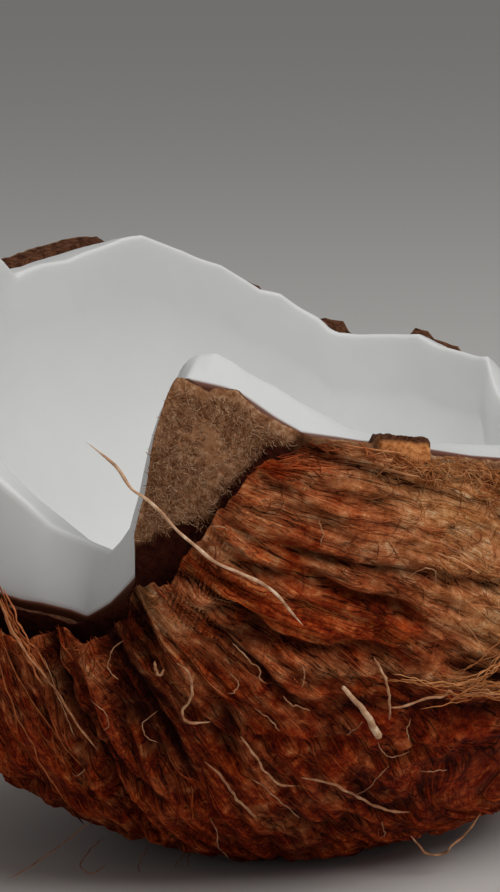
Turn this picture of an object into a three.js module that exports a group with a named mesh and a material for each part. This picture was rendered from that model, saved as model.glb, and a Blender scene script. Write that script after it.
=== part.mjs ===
// Half of a mature brown coconut, broken open lengthwise and lying on its husk with the hollow up.
// Millimetres, +Z up. The origin is the middle of the flat patch that the half rests on.
// Azimuths are in degrees about the vertical through the middle of the fruit: 0 is +X, 90 is +Y.

import * as THREE from 'three';
import { mergeVertices } from 'three/addons/utils/BufferGeometryUtils.js';

// The whole fruit is an egg of revolution about its pole axis.
const MIDDLE_HEIGHT = 54.2; // of the middle of the fruit above the surface that it rests on
const HALF_LENGTH = 62; // of the husk, from the middle to a pole
const HALF_WIDTH = 56; // of the husk, square to the pole axis
const POLE_AXIS = new THREE.Vector3(0.59, 0.78, -0.19).normalize();

// Each face of a layer lies at a depth below the outside of the husk.
const HUSK_DEPTH = { outer: 0, inner: 3.2 };
const SHELL_DEPTH = { outer: 3.7, inner: 6.6 };
const FLESH_DEPTH = { outer: 7.0, inner: 18.0 };
const FLESH_DOME = 0.4; // rise of the broken edge of the flesh between its two edges
const LEAST_HUSK = 1.0; // thickness of the husk where it is worn thinnest

// Grid of the layers
const WIDEST_COLUMN = 6; // degrees of azimuth
const TALLEST_STEP = 3; // rise of the rim from one column to the next
const OUTER_ROWS = 9;
const INNER_ROWS = 8;

// The broken rim: azimuth, then the heights of the inside edge of the flesh, the outside edge of the
// flesh, the shell and the husk. The low stretch from -138 to -108 is the break at the front left.
const RIM = [
  [-180, 68.0, 68.5, 69.0, 66.0],
  [-165, 64.0, 63.0, 63.5, 60.0],
  [-150, 56.0, 50.0, 50.0, 47.0],
  [-138, 47.5, 40.0, 39.5, 37.0],
  [-128, 42.5, 36.2, 35.8, 34.0],
  [-122, 41.0, 35.5, 35.2, 33.4],
  [-118, 39.9, 35.2, 35.0, 32.7],
  [-115, 42.0, 34.5, 34.2, 34.0],
  [-112, 45.0, 36.0, 35.0, 33.2],
  [-110, 49.0, 37.5, 36.0, 33.5],
  [-108, 53.0, 39.3, 37.5, 35.5],
  [-106.6, 56.0, 40.5, 39.5, 38.5],
  [-106, 57.5, 43.5, 45.0, 39.2],
  [-104.4, 60.2, 49.5, 50.0, 39.6],
  [-103.6, 61.2, 54.5, 55.0, 40.0],
  [-102.4, 62.0, 59.0, 59.0, 41.0],
  [-101.3, 62.3, 61.0, 61.6, 42.0],
  [-98, 62.0, 60.4, 60.2, 46.0],
  [-95, 60.7, 59.5, 60.2, 49.9],
  [-93, 59.8, 58.1, 58.4, 51.8],
  [-90, 58.3, 56.3, 56.6, 54.0],
  [-87, 57.0, 54.9, 55.4, 54.6],
  [-80.5, 54.0, 54.1, 54.6, 54.0],
  [-79.5, 53.9, 54.0, 55.5, 53.9],
  [-74.5, 53.0, 53.0, 54.5, 52.6],
  [-73.5, 52.8, 52.8, 53.0, 52.4],
  [-64, 51.7, 51.3, 51.6, 51.0],
  [-52, 50.9, 50.0, 50.2, 49.0],
  [-30, 47.0, 46.5, 46.5, 45.0],
  [0, 43.5, 43.0, 43.0, 41.5],
  [30, 44.5, 43.5, 43.5, 42.0],
  [42, 46.0, 44.0, 44.0, 42.5],
  [48, 49.2, 44.6, 44.6, 43.0],
  [58, 49.6, 45.4, 45.2, 44.0],
  [60, 49.8, 49.0, 49.0, 47.0],
  [62, 50.0, 49.9, 50.0, 48.0],
  [76, 51.6, 52.0, 52.1, 51.0],
  [83, 52.9, 53.1, 53.2, 52.0],
  [91, 55.8, 57.0, 57.1, 56.0],
  [101, 59.6, 61.8, 61.9, 60.5],
  [111, 62.0, 65.4, 65.5, 64.0],
  [117, 62.6, 64.4, 65.4, 64.0],
  [127, 62.4, 62.0, 63.6, 62.5],
  [131, 62.2, 61.0, 62.4, 61.5],
  [135, 62.2, 64.8, 63.5, 62.0],
  [142, 63.4, 67.5, 67.2, 65.0],
  [150, 65.6, 68.2, 68.2, 66.0],
  [160, 67.6, 69.0, 69.3, 67.0],
  [180, 68.0, 68.5, 69.0, 66.0],
];
const EDGE = { fleshInner: 1, fleshOuter: 2, shell: 3, husk: 4 };

// Where the husk has worn or torn away: middle azimuth, middle angle up from straight down,
// half width in azimuth and in that angle, and depth of the hollow.
const HUSK_DENTS = [
  { azimuth: -106, polar: 62, wide: 7, tall: 12, depth: 1.6 }, // under the broken corner
  { azimuth: -68, polar: 84, wide: 16, tall: 12, depth: 1.8 }, // thin fuzz at the front right
  { azimuth: 96, polar: 84, wide: 30, tall: 9, depth: 1.2 }, // along the back edge
];

// Loose fibres. A route is a list of points over the front face: across, up, and clear of the husk.
const FIBRE_SIDES = 6;
const STEPS_PER_SPAN = 3;
const FIBRES = [
  {
    name: 'long_fibre',
    width: 0.5,
    route: [
      [-19.5, 55.5, 1.6], [-16.5, 53, 1.4], [-13.5, 50, 1.2], [-8.5, 44.5, 1],
      [-4.5, 42, 0.9], [-1, 40, 0.8], [2, 36, 0.8],
    ],
  },
  {
    name: 'left_fibre',
    width: 0.8,
    route: [[-29, 38.5, 1.6], [-27.5, 34.5, 1.4], [-24, 28.5, 1.1], [-19.5, 20, 1]],
  },
  {
    name: 'curly_fibre',
    width: 0.5,
    route: [
      [-11, 31.8, 1], [-9.7, 31, 1], [-9.3, 28.8, 1.1], [-10.3, 26.4, 1.1],
      [-9.8, 25.1, 1], [-7.5, 24.8, 1],
    ],
  },
  {
    name: 'slope_fibre',
    width: 0.5,
    route: [[-8.3, 19.5, 0.9], [-6.5, 17.8, 1], [-4.8, 14.8, 1.1], [-2.7, 11.1, 0.9]],
  },
  {
    name: 'belly_fibre',
    width: 0.5,
    route: [[-4.5, 22.7, 0.9], [-3, 20, 1], [-1.9, 17.9, 1], [1.4, 16.2, 1]],
  },
  {
    name: 'fibre_stub',
    width: 1.0,
    route: [[6.4, 28, 1.1], [8.3, 25.7, 1.3], [10.3, 21.7, 1.2]],
  },
  {
    name: 'branch_fibre',
    width: 0.45,
    route: [[12.4, 25.4, 1.1], [16.5, 26.4, 1.1], [19.7, 26.8, 1.1], [24, 26.2, 1]],
  },
  {
    name: 'drooping_fibre',
    width: 0.45,
    route: [[9.4, 32, 1], [10.5, 29.8, 1.1], [11.1, 24.4, 0.9]],
  },
  {
    name: 'low_fibre',
    width: 0.5,
    route: [[1.8, 17.1, 0.9], [6.7, 15.4, 1], [10.6, 12, 1], [14, 10.6, 0.9]],
  },
  {
    name: 'hanging_fibre',
    width: 0.45,
    route: [[14.2, 6.4, 0.9], [15.7, 5.3, 2.4], [17.4, 5.4, 2.9], [19.8, 6.8, 2], [22, 8.4, 0.9]],
  },
];

const degrees = THREE.MathUtils.degToRad;
const middle = new THREE.Vector3(0, 0, MIDDLE_HEIGHT);

function rimHeight(azimuth, edge) {
  const last = RIM.findIndex((row) => row[0] >= azimuth);
  if (last <= 0) return RIM[0][edge];
  const [before, after] = [RIM[last - 1], RIM[last]];
  const share = (azimuth - before[0]) / (after[0] - before[0]);
  return THREE.MathUtils.lerp(before[edge], after[edge], share);
}

// Every corner of the rim is a column, with more between them where they lie far apart.
function columnAzimuths() {
  const columns = [];
  for (let i = 0; i + 1 < RIM.length; i += 1) {
    const [start, end] = [RIM[i][0], RIM[i + 1][0]];
    const rises = Object.values(EDGE).map((edge) => Math.abs(RIM[i + 1][edge] - RIM[i][edge]));
    const steps = Math.max((end - start) / WIDEST_COLUMN, Math.max(...rises) / TALLEST_STEP);
    const count = Math.ceil(steps);
    for (let k = 0; k < count; k += 1) columns.push(start + ((end - start) * k) / count);
  }
  return columns;
}

// A direction from the middle of the fruit: polar is the angle up from straight down.
function direction(azimuth, polar) {
  const flat = Math.sin(degrees(polar));
  return new THREE.Vector3(
    flat * Math.cos(degrees(azimuth)),
    flat * Math.sin(degrees(azimuth)),
    -Math.cos(degrees(polar)),
  );
}

function reach(along, depth) {
  const lengthwise = along.dot(POLE_AXIS) ** 2;
  const long = HALF_LENGTH - depth;
  const wide = HALF_WIDTH - depth;
  return 1 / Math.sqrt(lengthwise / long ** 2 + (1 - lengthwise) / wide ** 2);
}

function pointAt(azimuth, polar, depth) {
  const along = direction(azimuth, polar);
  return along.clone().multiplyScalar(reach(along, depth)).add(middle);
}

// The angle up from straight down at which a face of the egg passes a height.
function polarAtHeight(azimuth, height, depth) {
  let [low, high] = [20, 160];
  for (let i = 0; i < 40; i += 1) {
    const polar = (low + high) / 2;
    if (pointAt(azimuth, polar, depth).z < height) low = polar;
    else high = polar;
  }
  return low;
}

function dent(azimuth, polar) {
  let total = 0;
  for (const spot of HUSK_DENTS) {
    const across = (azimuth - spot.azimuth) / spot.wide;
    const along = (polar - spot.polar) / spot.tall;
    total += spot.depth * Math.exp(-(across ** 2) - along ** 2);
  }
  return Math.min(total, HUSK_DEPTH.inner - LEAST_HUSK);
}

function huskPoint(azimuth, polar) {
  const point = pointAt(azimuth, polar, HUSK_DEPTH.outer + dent(azimuth, polar));
  point.z = Math.max(point.z, 0);
  return point;
}

// Rings of a bowl from just above its lowest point to its rim, one point for each column.
function ringsUpTo(columns, rows, depth, edge, place) {
  const rimPolars = columns.map((azimuth) =>
    polarAtHeight(azimuth, rimHeight(azimuth, edge), depth));
  const rings = [];
  for (let row = 1; row <= rows; row += 1) {
    rings.push(columns.map((azimuth, i) => place(azimuth, (rimPolars[i] * row) / rows)));
  }
  return rings;
}

function midRing(one, other, rise) {
  return one.map((point, i) => {
    const between = point.clone().lerp(other[i], 0.5);
    between.z += rise;
    return between;
  });
}

// A closed bowl: up the outside from its lowest point, over the rim, and down the inside.
function bowlGeometry(lowest, rings, innerLowest) {
  const count = rings[0].length;
  const points = [lowest, ...rings.flat(), innerLowest];
  const at = (ring, column) => 1 + ring * count + (column % count);
  const triangles = [];
  for (let column = 0; column < count; column += 1) {
    triangles.push(0, at(0, column + 1), at(0, column));
    for (let ring = 0; ring + 1 < rings.length; ring += 1) {
      const [a, b] = [at(ring, column), at(ring, column + 1)];
      const [c, d] = [at(ring + 1, column), at(ring + 1, column + 1)];
      triangles.push(a, b, d, a, d, c);
    }
    const last = rings.length - 1;
    triangles.push(at(last, column), at(last, column + 1), points.length - 1);
  }
  const geometry = new THREE.BufferGeometry().setFromPoints(points);
  geometry.setIndex(triangles);
  return geometry;
}

// One grown layer between two faces of the egg, with its own broken rim.
function layer(depths, outerEdge, innerEdge, outerPlace, dome) {
  const columns = columnAzimuths();
  const innerPlace = (azimuth, polar) => pointAt(azimuth, polar, depths.inner);
  const outer = ringsUpTo(columns, OUTER_ROWS, depths.outer, outerEdge, outerPlace);
  const inner = ringsUpTo(columns, INNER_ROWS, depths.inner, innerEdge, innerPlace);
  const crest = dome > 0 ? [midRing(outer.at(-1), inner.at(-1), dome)] : [];
  return bowlGeometry(outerPlace(0, 0), [...outer, ...crest, ...inner.reverse()], innerPlace(0, 0));
}

function fleshGeometry() {
  const outside = (azimuth, polar) => pointAt(azimuth, polar, FLESH_DEPTH.outer);
  return layer(FLESH_DEPTH, EDGE.fleshOuter, EDGE.fleshInner, outside, FLESH_DOME);
}

function shellGeometry() {
  const outside = (azimuth, polar) => pointAt(azimuth, polar, SHELL_DEPTH.outer);
  return layer(SHELL_DEPTH, EDGE.shell, EDGE.shell, outside, 0);
}

function huskGeometry() {
  return layer(HUSK_DEPTH, EDGE.husk, EDGE.husk, huskPoint, 0);
}

// A point over the front of the husk, given its place across and up and its clearance.
function overFront([across, up, clear]) {
  const flat = new THREE.Vector3(across, 0, up - MIDDLE_HEIGHT);
  const stretch = 1 / HALF_LENGTH ** 2 - 1 / HALF_WIDTH ** 2;
  const along = flat.dot(POLE_AXIS);
  const a = 1 / HALF_WIDTH ** 2 + stretch * POLE_AXIS.y ** 2;
  const b = 2 * stretch * along * POLE_AXIS.y;
  const c = flat.lengthSq() / HALF_WIDTH ** 2 + stretch * along ** 2 - 1;
  flat.y = (-b - Math.sqrt(b * b - 4 * a * c)) / (2 * a);
  const distance = flat.length();
  return flat.multiplyScalar((distance + clear) / distance).add(middle);
}

function fibreGeometry({ width, route }) {
  const path = new THREE.CatmullRomCurve3(route.map(overFront));
  const section = new THREE.Shape();
  for (let side = 0; side < FIBRE_SIDES; side += 1) {
    const angle = (2 * Math.PI * side) / FIBRE_SIDES;
    const [x, y] = [Math.cos(angle) * (width / 2), Math.sin(angle) * (width / 2)];
    if (side === 0) section.moveTo(x, y);
    else section.lineTo(x, y);
  }
  section.closePath();
  const steps = (route.length - 1) * STEPS_PER_SPAN;
  const geometry = new THREE.ExtrudeGeometry(section, { steps, extrudePath: path });
  geometry.deleteAttribute('normal');
  geometry.deleteAttribute('uv');
  return mergeVertices(geometry, 1e-4);
}

function piece(name, geometry, colour, roughness) {
  const material = new THREE.MeshStandardMaterial({ color: colour, roughness, metalness: 0 });
  const mesh = new THREE.Mesh(geometry, material);
  mesh.name = name;
  return mesh;
}

const coconutHalf = new THREE.Group();
coconutHalf.add(piece('flesh', fleshGeometry(), 0xe6e5df, 0.45));
coconutHalf.add(piece('shell', shellGeometry(), 0x7a5a42, 0.8));
coconutHalf.add(piece('husk_mat', huskGeometry(), 0x8a4a26, 0.95));
for (const fibre of FIBRES) {
  coconutHalf.add(piece(fibre.name, fibreGeometry(fibre), 0xc8a27a, 0.8));
}

export default coconutHalf;
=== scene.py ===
"""Half of a coconut: white flesh, hard shell, matted husk and loose fibres, as fine Blender meshes.

Lengths are millimetres until a mesh is made. Azimuths are in degrees about the vertical through the
middle of the fruit, 0 along +X and 90 along +Y. Polar angles go up from straight down.
"""

import itertools
import math

import bpy
import numpy as np
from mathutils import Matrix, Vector


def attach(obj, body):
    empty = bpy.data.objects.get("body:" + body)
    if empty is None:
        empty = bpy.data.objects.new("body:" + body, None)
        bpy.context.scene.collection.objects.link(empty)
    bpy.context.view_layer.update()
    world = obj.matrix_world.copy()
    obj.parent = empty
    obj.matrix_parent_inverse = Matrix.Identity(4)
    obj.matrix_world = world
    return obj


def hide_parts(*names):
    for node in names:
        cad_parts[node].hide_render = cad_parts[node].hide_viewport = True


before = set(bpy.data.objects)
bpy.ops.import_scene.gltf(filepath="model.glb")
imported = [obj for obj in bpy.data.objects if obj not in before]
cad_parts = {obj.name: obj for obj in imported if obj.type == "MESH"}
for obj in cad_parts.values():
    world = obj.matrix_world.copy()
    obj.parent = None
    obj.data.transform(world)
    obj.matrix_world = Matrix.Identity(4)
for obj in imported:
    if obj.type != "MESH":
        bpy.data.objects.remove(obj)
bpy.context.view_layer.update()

MM = 0.001
FULL_CIRCLE = 360
HALF_CIRCLE = 180

# The whole fruit is an egg of revolution about its pole axis.
MIDDLE = np.array([0.0, 0.0, 54.2])
HALF_LENGTH = 62.0
HALF_WIDTH = 56.0
MEAN_RADIUS = 57.0
POLE = np.array([0.59, 0.78, -0.19]) / math.sqrt(0.59**2 + 0.78**2 + 0.19**2)

# Two directions square to the pole axis: the one nearest to straight down, and the one beside it
DOWN = np.array([0.0, 0.0, -1.0]) + POLE[2] * POLE
DOWN /= np.linalg.norm(DOWN)
SIDE = np.cross(POLE, DOWN)

# Depths of the layers' faces below the outside of the husk
HUSK_RIM_DEPTH, HUSK_INNER = 1.0, 3.2
SHELL_OUTER, SHELL_INNER = 3.7, 6.6
FLESH_OUTER, FLESH_INNER = 7.0, 18.0

# Polar angles from the husk's rim down to the inner edge of its torn lip, and to its first inside row
LIP_POLAR, INSIDE_POLAR = 3.4, 3.6

# The fruit is broken, so its rims have no even curve: each is straight between the points given here.
# Far side of the flesh: azimuth, height of the outside edge, height of the crest. The crest keeps one
# depth there, and the inside edge lies half a millimetre under it.
FAR_CREST_DEPTH = 17.6
FAR_RIM = [(azimuth, outer_edge, FAR_CREST_DEPTH, crest, crest - 0.5) for azimuth, outer_edge, crest in (
    (50, 43.8, 46.6), (51.2, 44.4, 47.4), (52.6, 44.5, 49.8), (53.5, 44.6, 51.5), (55.4, 44.7, 51.4),
    (59, 44.8, 51.9), (62.6, 46.3, 52.5), (66, 50.4, 53.8), (69.4, 51.0, 53.6), (76.9, 50.9, 53.5),
    (80, 51.0, 53.7), (81.6, 51.7, 54.4), (82.8, 52.8, 55.5), (86.2, 54.2, 56.9), (89.6, 56.1, 58.8),
    (93.1, 56.7, 59.3), (96.7, 58.3, 61.0), (100.5, 60.0, 62.7), (104.3, 60.9, 63.5),
    (108.4, 62.1, 64.8), (112.8, 63.3, 66.0), (117.3, 64.4, 67.0), (121.7, 64.2, 66.8),
    (125.6, 63.5, 66.1), (130, 62.8, 65.5), (134.5, 62.0, 64.7), (141.5, 61.9, 64.5), (146, 61.4, 63.9),
)]
# Flesh: azimuth, height of the outside edge, depth and height of the crest, height of the inside edge.
FLESH_RIM = np.array([
    (-180, 68.0, 13.0, 69.5, 68.2), (-165, 62.5, 12.5, 65.5, 63.8), (-150, 50.5, 12.0, 60.0, 57.5),
    (-138, 40.0, 12.0, 54.0, 50.5), (-128, 36.2, 12.0, 48.5, 44.8), (-124, 35.6, 12.0, 46.2, 42.6),
    (-121, 35.5, 12.0, 44.0, 40.8), (-117, 35.0, 12.0, 42.7, 39.6), (-115, 34.4, 12.0, 42.0, 39.3),
    (-113, 35.4, 12.0, 41.4, 39.0), (-111.5, 36.2, 12.0, 42.6, 40.2), (-110, 37.4, 12.3, 44.3, 42.0),
    (-108.6, 38.6, 12.8, 48.0, 46.0), (-107.2, 39.9, 13.3, 53.0, 51.0), (-106, 43.0, 13.8, 57.0, 55.0),
    (-104.4, 49.3, 14.4, 60.2, 58.0), (-103.4, 55.0, 14.8, 62.0, 59.5), (-102.4, 59.0, 15.0, 62.5, 60.0),
    (-101, 60.8, 15.0, 62.9, 60.3), (-99, 60.4, 15.0, 63.1, 60.3), (-97, 60.0, 15.0, 62.3, 59.8),
    (-95, 59.4, 15.0, 61.1, 58.8), (-91, 56.8, 15.0, 59.5, 57.2), (-88, 55.2, 15.0, 57.9, 55.6),
    (-84, 54.6, 15.0, 56.1, 54.0), (-81, 54.1, 15.0, 54.6, 52.6), (-77, 53.5, 15.0, 53.5, 51.6),
    (-73, 52.9, 15.0, 52.9, 51.2), (-67, 51.8, 15.0, 52.4, 50.8), (-59, 50.8, 15.0, 51.8, 50.0),
    (-50, 49.6, 15.0, 51.0, 49.2), (-30, 46.1, 16.0, 48.0, 46.6), (0, 42.6, 16.5, 44.8, 43.8),
    (30, 42.9, 17.6, 45.4, 44.8),
    *FAR_RIM,
    (148.3, 61.2, 16.8, 63.5, 63.0), (151, 63.2, 16.4, 65.1, 64.4), (153.8, 65.0, 16.0, 66.4, 65.5),
    (156.3, 66.0, 15.5, 67.2, 66.2), (160, 67.0, 15.0, 68.0, 66.9), (170, 68.0, 14.0, 69.3, 68.0),
    (180, 68.0, 13.0, 69.5, 68.2),
])

# Shell and husk: azimuth and height.
SHELL_RIM = np.array([
    (-180, 69.0), (-165, 63.5), (-150, 50.5), (-138, 39.5), (-128, 35.8), (-122, 35.2), (-118, 34.9),
    (-115, 34.1), (-112, 35.2), (-110, 36.0), (-108, 37.5), (-106.6, 39.5), (-106, 45.0),
    (-104.4, 50.0), (-103.6, 55.0), (-102.4, 59.0), (-101.3, 61.6), (-100.5, 61.5), (-98.8, 60.6),
    (-98, 60.0), (-97.2, 60.6), (-95, 60.3), (-93, 58.4), (-90, 56.6), (-87, 55.4), (-84, 55.0),
    (-80.5, 54.6), (-79.9, 55.6), (-77, 55.3), (-74.3, 54.8), (-73.8, 53.0), (-64, 51.6),
    (-52, 50.2), (-30, 46.3), (0, 42.8), (30, 43.0), (50, 43.4), (52, 44.2), (54, 44.5), (59, 44.8),
    (62.6, 46.2), (66, 50.4), (69.3, 51.3), (69.7, 52.2), (71.7, 52.6), (72.1, 51.2), (77, 51.2),
    (80.3, 51.4), (80.7, 53.2), (83.5, 53.7), (84, 53.4), (86.2, 54.5), (89.6, 56.4), (91.8, 56.8),
    (92.3, 57.9), (94.6, 59.0), (95.2, 58.2), (96.7, 58.6), (100.5, 60.3), (104.3, 61.2),
    (108.4, 62.4), (112.8, 63.6), (115.4, 64.3), (116.4, 65.4), (120, 65.4), (122.6, 65.1),
    (127.2, 64.3), (131, 63.6), (134, 63.2), (142, 63.2), (148, 63.0), (151, 64.5), (156, 66.5),
    (165, 68.0), (180, 69.0),
])
HUSK_RIM = np.array([
    (-180, 66.0), (-165, 60.0), (-150, 46.5), (-138, 37.5), (-128, 34.0), (-122, 33.6), (-119, 32.7),
    (-116.5, 33.2), (-114, 34.3), (-112, 33.6), (-110, 33.5), (-107.5, 35.5), (-106.5, 38.8),
    (-104, 39.5), (-102, 41.0), (-100, 42.9), (-98, 46.2), (-96.5, 48.3), (-95, 49.9), (-93, 52.3),
    (-91, 53.5), (-89.5, 53.8), (-88, 55.0), (-80, 54.0), (-73.5, 52.4), (-64, 50.9), (-52, 49.0),
    (-30, 45.0), (0, 41.5), (30, 41.8), (50, 42.2), (54, 43.0), (60, 43.4), (66, 48.0), (77, 49.5),
    (83, 51.0), (90, 54.0), (101, 58.3), (111, 61.0), (117, 63.0), (127, 62.0), (135, 61.0),
    (148, 61.5), (160, 66.0), (180, 66.0),
])


# ---------------------------------------------------------------- shape of the egg

def unit(v):
    return v / np.linalg.norm(v, axis=-1, keepdims=True)


def direction(azimuth, polar):
    a, p = np.radians(azimuth), np.radians(polar)
    return np.stack([np.sin(p) * np.cos(a), np.sin(p) * np.sin(a), -np.cos(p)], -1)


def reach(d, depth):
    """Distance from the middle to a face of the egg along each unit direction."""
    lengthwise = (d @ POLE) ** 2
    return 1 / np.sqrt(lengthwise / (HALF_LENGTH - depth) ** 2 + (1 - lengthwise) / (HALF_WIDTH - depth) ** 2)


def place(d, depth):
    return MIDDLE + d * reach(d, depth)[..., None]


def azimuth_of(d):
    return np.degrees(np.arctan2(d[..., 1], d[..., 0]))


def polar_at_height(azimuth, height, depth):
    """The polar angle at which a face of the egg passes a height, for each azimuth."""
    low, high = np.full(len(azimuth), 20.0), np.full(len(azimuth), 160.0)
    for _ in range(40):
        polar = (low + high) / 2
        below = place(direction(azimuth, polar), depth)[:, 2] < height
        low, high = np.where(below, polar, low), np.where(below, high, polar)
    return low


def over_front(across, up, clear=0.0):
    """Points over the front of the husk, given their places across and up and their clearance."""
    flat = np.stack([across, np.zeros_like(across), up - MIDDLE[2]], -1)
    stretch = 1 / HALF_LENGTH**2 - 1 / HALF_WIDTH**2
    along = flat @ POLE
    a = 1 / HALF_WIDTH**2 + stretch * POLE[1] ** 2
    b = 2 * stretch * along * POLE[1]
    c = (flat**2).sum(-1) / HALF_WIDTH**2 + stretch * along**2 - 1
    flat[..., 1] = (-b - np.sqrt(b * b - 4 * a * c)) / (2 * a)
    far = np.linalg.norm(flat, axis=-1)
    return MIDDLE + flat * ((far + clear) / far)[..., None]


def fibre_coordinates(d):
    """Angle from the front pole, and angle around the pole axis from straight down, in degrees."""
    along = np.degrees(np.arccos(np.clip(-(d @ POLE), -1, 1)))
    around = np.degrees(np.arctan2(d @ SIDE, d @ DOWN))
    return along, around


def from_fibre_coordinates(along, around):
    a, b = np.radians(along), np.radians(around)
    ring = np.cos(b)[..., None] * DOWN + np.sin(b)[..., None] * SIDE
    return -np.cos(a)[..., None] * POLE + np.sin(a)[..., None] * ring


# ---------------------------------------------------------------- noise

class Noise:
    """Smooth gradient noise in three dimensions, about -1 to 1, the same for the same seed."""

    def __init__(self, seed):
        rng = np.random.default_rng(seed)
        self.order = np.tile(rng.permutation(256), 2)
        self.slopes = unit(rng.normal(size=(256, 3)))

    def __call__(self, *axes):
        p = np.stack(np.broadcast_arrays(*axes), -1).astype(float)
        cell = np.floor(p).astype(int)
        inside = p - cell
        fade = inside**3 * (inside * (inside * 6 - 15) + 10)
        total = np.zeros(p.shape[:-1])
        for corner in itertools.product((0, 1), repeat=3):
            at = (cell + corner) & 255
            pick = self.order[self.order[self.order[at[..., 0]] + at[..., 1]] + at[..., 2]]
            slope = ((inside - corner) * self.slopes[pick]).sum(-1)
            total += slope * np.where(corner, fade, 1 - fade).prod(-1)
        return total * 1.7


def smoothstep(low, high, x):
    t = np.clip((x - low) / (high - low), 0, 1)
    return t * t * (3 - 2 * t)


def hump(x, middle, half_width):
    return np.exp(-(((x - middle) / half_width) ** 2))


def split(noise, across, along, seed, half_width):
    """Narrow lines of an even width, where a noise passes through zero."""
    here = noise(across, along, seed)
    slope = np.hypot(noise(across + 0.1, along, seed) - here, noise(across, along + 0.1, seed) - here) / 0.1
    return hump(here / np.maximum(slope, 0.05), 0, half_width)


LUMPS, CRACKS, FURROWS, WRINKLES, GRAIN, WARP, BEND, PATCHES, RAGGED, TUFTS = (
    Noise(seed) for seed in range(10)
)


# ---------------------------------------------------------------- the husk's surface

# Deep grooves on the front, as points across and up, with their depth and half width.
GROOVES = [
    ([(-25.2, 36), (-24.4, 31), (-23.1, 26.2), (-21.5, 21.8), (-19.3, 16.7), (-17.4, 11.8), (-14, 5.4)],
     3.8, 0.95),
    ([(-22, 30), (-20, 23.5), (-18, 18.5), (-15.6, 13.8)], 1.3, 0.72),
    ([(-15.8, 39), (-15.2, 36), (-14.2, 33.5), (-12.8, 30.5)], 1.4, 0.8),
    ([(-7.1, 45), (-4.5, 42.3), (-1.5, 41.5), (3.1, 40.4), (8.3, 38.1), (10.7, 37.9), (15.2, 35.5)],
     1.5, 0.75),
    ([(-10.2, 37.1), (-7.1, 37.6), (-4.9, 37.1), (-1.5, 34.3), (3.1, 32.7), (8.3, 32.6), (13.3, 30.9)],
     1.7, 0.85),
    ([(-3.3, 49.1), (-0.7, 48.1), (2.3, 47.2), (5.4, 46.1), (7.2, 44.2), (8.7, 43.5)], 1.1, 0.72),
    ([(-9.4, 35.1), (-7.1, 33.2), (-5.3, 31.2), (-2.9, 29.6)], 1.2, 0.72),
    ([(-12, 27), (-8.5, 23.5), (-5, 18)], 1.0, 0.72),
    ([(-18.5, 31), (-16, 25), (-12.5, 18), (-8, 11)], 1.2, 0.7),
    ([(-26.5, 27), (-24.5, 21), (-21.5, 15)], 1.2, 0.7),
    ([(4, 50), (9, 48.4), (13, 48)], 0.7, 0.72),
    ([(-1.7, 27.6), (1.6, 26.4), (5.5, 26.3)], 1.1, 0.72),
    ([(-4.7, 20), (-1, 22), (4, 21.2), (8, 21.8)], 0.8, 0.72),
    ([(9, 19.3), (12, 18.6), (17, 19.6)], 0.8, 0.72),
]

# A thick ridge of pale fibres on the front, across and up
RIDGE = [(3.5, 30.6), (6.8, 30.3), (11.7, 29.8), (16.2, 28.5), (18.8, 27.4), (24, 26)]


def distance_to_line(points, line):
    nearest = np.full(len(points), 1e9)
    for start, end in zip(line[:-1], line[1:]):
        span = end - start
        share = np.clip(((points - start) @ span) / (span @ span), 0, 1)
        nearest = np.minimum(nearest, np.linalg.norm(points - start - share[:, None] * span, axis=1))
    return nearest


def fibre_label(along, around):
    """A number that stays the same along one fibre of the mat."""
    drift = 0.33 * (along - 50) * smoothstep(-58, -34, around) * (1 - smoothstep(20, 60, around))
    wander = 2.6 * WARP(along / 26, around / 17, 0.3) + 0.7 * BEND(along / 9, around / 8, 0.7)
    wander *= 0.3 + 0.7 * smoothstep(-34, -46, around - 0.5 * (along - 50))
    return around - drift + wander


def folds(flat, label, along, swirl):
    """Height of the mat's lumps, cracks, furrows and creases, and how much painted shade their grooves get.
    """
    x, y, z = flat[:, 0], flat[:, 1], flat[:, 2]
    lumps = LUMPS(label / 9, along / 22, 0.5)
    cracks = split(CRACKS, label / 7, along / 24, 0.2, half_width=0.13)
    cracks *= smoothstep(-0.25, 0.15, PATCHES(label / 9, along / 20, 4))
    furrows = split(FURROWS, label / 3.2, along / 14, 0.8, half_width=0.24) * (1 - 0.5 * swirl)
    wrinkles = WRINKLES(label / 1.7, along / 8, 0.4)
    tangle = WRINKLES(x / 1.7, y / 1.7, z / 1.3) + 0.6 * GRAIN(x / 0.9, y / 0.9, z / 0.7)
    crumple = CRACKS(x / 2.6, y / 2.6, z / 2.0) + 0.5 * PATCHES(x / 1.3, y / 1.3, z / 1.0)
    crumple *= (0.3 + 0.7 * smoothstep(-14, 2, x + 0.6 * (z - 34))) * (0.4 + 0.6 * smoothstep(12, 32, z))
    relief = (
        0.6 * lumps - 1.15 * cracks - 0.5 * furrows + (0.3 - 0.1 * swirl) * wrinkles
        + 0.4 * swirl * tangle + 0.36 * crumple
    )
    # Painted shade: the colour darkens in the cracks, the furrows and the crumple pits.
    groove_shade = np.maximum(0.85 * cracks, 0.5 * furrows)
    return relief, np.maximum(groove_shade, 0.45 * smoothstep(0.55, 1.1, -crumple) * (1 - 0.5 * swirl))


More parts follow.
